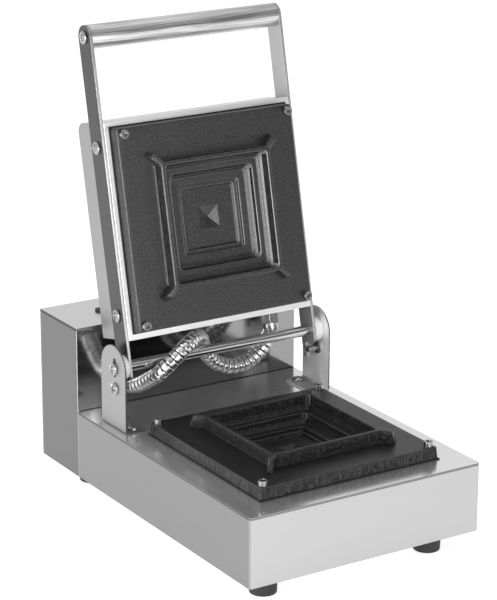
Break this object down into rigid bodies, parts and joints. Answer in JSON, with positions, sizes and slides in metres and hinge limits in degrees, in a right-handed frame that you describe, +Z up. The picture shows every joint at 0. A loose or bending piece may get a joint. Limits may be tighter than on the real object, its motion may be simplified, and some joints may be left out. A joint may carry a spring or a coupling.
{
  "type": "sandwich waffle maker",
  "caption": "Countertop sandwich waffle maker: stainless casing with a rear box, a square non-stick plate, and a lid with the matching plate on side arms joined by a bar handle.",
  "frame": {"origin": "under the middle of the whole part, on the surface that the feet stand on", "axes": "+Z up, -Y towards the front where the cook stands, +X to the right seen from the front; the lid is open"},
  "size_m": [0.274, 0.424, 0.4726],
  "materials": {
    "front_casing": "fine brushed stainless, satin",
    "deck": "bright stainless, near mirror",
    "bottom_plate": "plain steel sheet",
    "rear_box": "bright stainless",
    "rear_cover": "fine brushed stainless",
    "back_panel": "fine brushed stainless",
    "feet": "black rubber",
    "foot_screws": "plated steel",
    "foot_nuts": "plated steel",
    "top_bumpers": "black rubber",
    "casing_screws": "stainless",
    "lower_plate": "black non-stick coating with a fine sparkle",
    "lower_plate_bolts": "bright stainless",
    "lower_plate_nuts": "plated steel",
    "lower_plate_frame": "black heat-proof gasket",
    "lower_heater": "steel-cased heater",
    "lower_clamp": "steel",
    "lower_studs": "plated steel",
    "heat_shield": "bright sheet",
    "lower_insulation": "ceramic fibre",
    "bracket_left": "satin stainless",
    "bracket_right": "satin stainless",
    "bracket_screws": "bright stainless",
    "stop_pins": "bright stainless",
    "hose_gland_base": "nickel-plated brass",
    "cable_gland": "black nylon",
    "thermostat": "pale moulding",
    "thermostat_bulb": "copper",
    "switch_housing": "black nylon",
    "pilot_lamps": "translucent lens",
    "terminal_block": "pale moulding",
    "inner_wiring": "silicone-insulated wire",
    "conduit_hose": "bright ribbed metal",
    "hinge_rod": "bright stainless",
    "pivot_screws": "bright stainless",
    "pivot_spacers": "white nylon",
    "arm_left": "satin stainless",
    "arm_right": "satin stainless",
    "handle_tube": "bright stainless",
    "handle_plugs": "steel",
    "handle_screws": "bright stainless",
    "arm_screws": "bright stainless",
    "lid_housing": "satin stainless",
    "lid_back_cover": "satin stainless",
    "lid_cover_screws": "stainless",
    "upper_plate": "black non-stick coating with a fine sparkle",
    "upper_plate_bolts": "bright stainless",
    "upper_plate_nuts": "plated steel",
    "upper_plate_frame": "black heat-proof gasket",
    "upper_heater": "steel-cased heater",
    "upper_clamp": "steel",
    "upper_studs": "plated steel",
    "upper_insulation": "ceramic fibre",
    "hose_gland_lid": "nickel-plated brass",
    "thermostat_knob": "black moulding",
    "knob_spindle": "steel",
    "switch_rocker": "red moulding"
  },
  "bodies": {
    "base": {"front_casing": "front_casing", "deck": "deck", "bottom_plate": "bottom_plate", "rear_box": "rear_box", "rear_cover": "rear_cover", "back_panel": "back_panel", "feet": "feet", "foot_screws": "foot_screws", "foot_nuts": "foot_nuts", "top_bumpers": "top_bumpers", "casing_screws": "casing_screws", "lower_plate": "lower_plate", "lower_plate_bolts": "lower_plate_bolts", "lower_plate_nuts": "lower_plate_nuts", "lower_plate_frame": "lower_plate_frame", "lower_heater": "lower_heater", "lower_clamp": "lower_clamp", "lower_studs": "lower_studs", "heat_shield": "heat_shield", "lower_insulation": "lower_insulation", "bracket_left": "bracket_left", "bracket_right": "bracket_right", "bracket_screws": "bracket_screws", "stop_pins": "stop_pins", "hose_gland_base": "hose_gland_base", "cable_gland": "cable_gland", "thermostat": "thermostat", "thermostat_bulb": "thermostat_bulb", "switch_housing": "switch_housing", "pilot_lamps": "pilot_lamps", "terminal_block": "terminal_block", "inner_wiring": "inner_wiring", "conduit_hose": "conduit_hose"},
    "lid": {"hinge_rod": "hinge_rod", "pivot_screws": "pivot_screws", "pivot_spacers": "pivot_spacers", "arm_left": "arm_left", "arm_right": "arm_right", "handle_tube": "handle_tube", "handle_plugs": "handle_plugs", "handle_screws": "handle_screws", "arm_screws": "arm_screws", "lid_housing": "lid_housing", "lid_back_cover": "lid_back_cover", "lid_cover_screws": "lid_cover_screws", "upper_plate": "upper_plate", "upper_plate_bolts": "upper_plate_bolts", "upper_plate_nuts": "upper_plate_nuts", "upper_plate_frame": "upper_plate_frame", "upper_heater": "upper_heater", "upper_clamp": "upper_clamp", "upper_studs": "upper_studs", "upper_insulation": "upper_insulation", "hose_gland_lid": "hose_gland_lid"},
    "knob": {"thermostat_knob": "thermostat_knob", "knob_spindle": "knob_spindle"},
    "rocker": {"switch_rocker": "switch_rocker"}
  },
  "joints": [
    {"name": "lid_hinge", "type": "hinge", "parent": "base", "child": "lid", "pos_m": [-0.007, 0.0505, 0.145], "axis": [1, 0, 0], "range_deg": [0, 102.4], "deforming": ["conduit_hose"]},
    {"name": "thermostat_turn", "type": "hinge", "parent": "base", "child": "knob", "pos_m": [0.123, 0.16, 0.1245], "axis": [-1, 0, 0], "range_deg": [0, 270]},
    {"name": "switch_rock", "type": "hinge", "parent": "base", "child": "rocker", "pos_m": [0.12, 0.149, 0.0645], "axis": [0, -1, 0], "range_deg": [0, 20]}
  ]
}
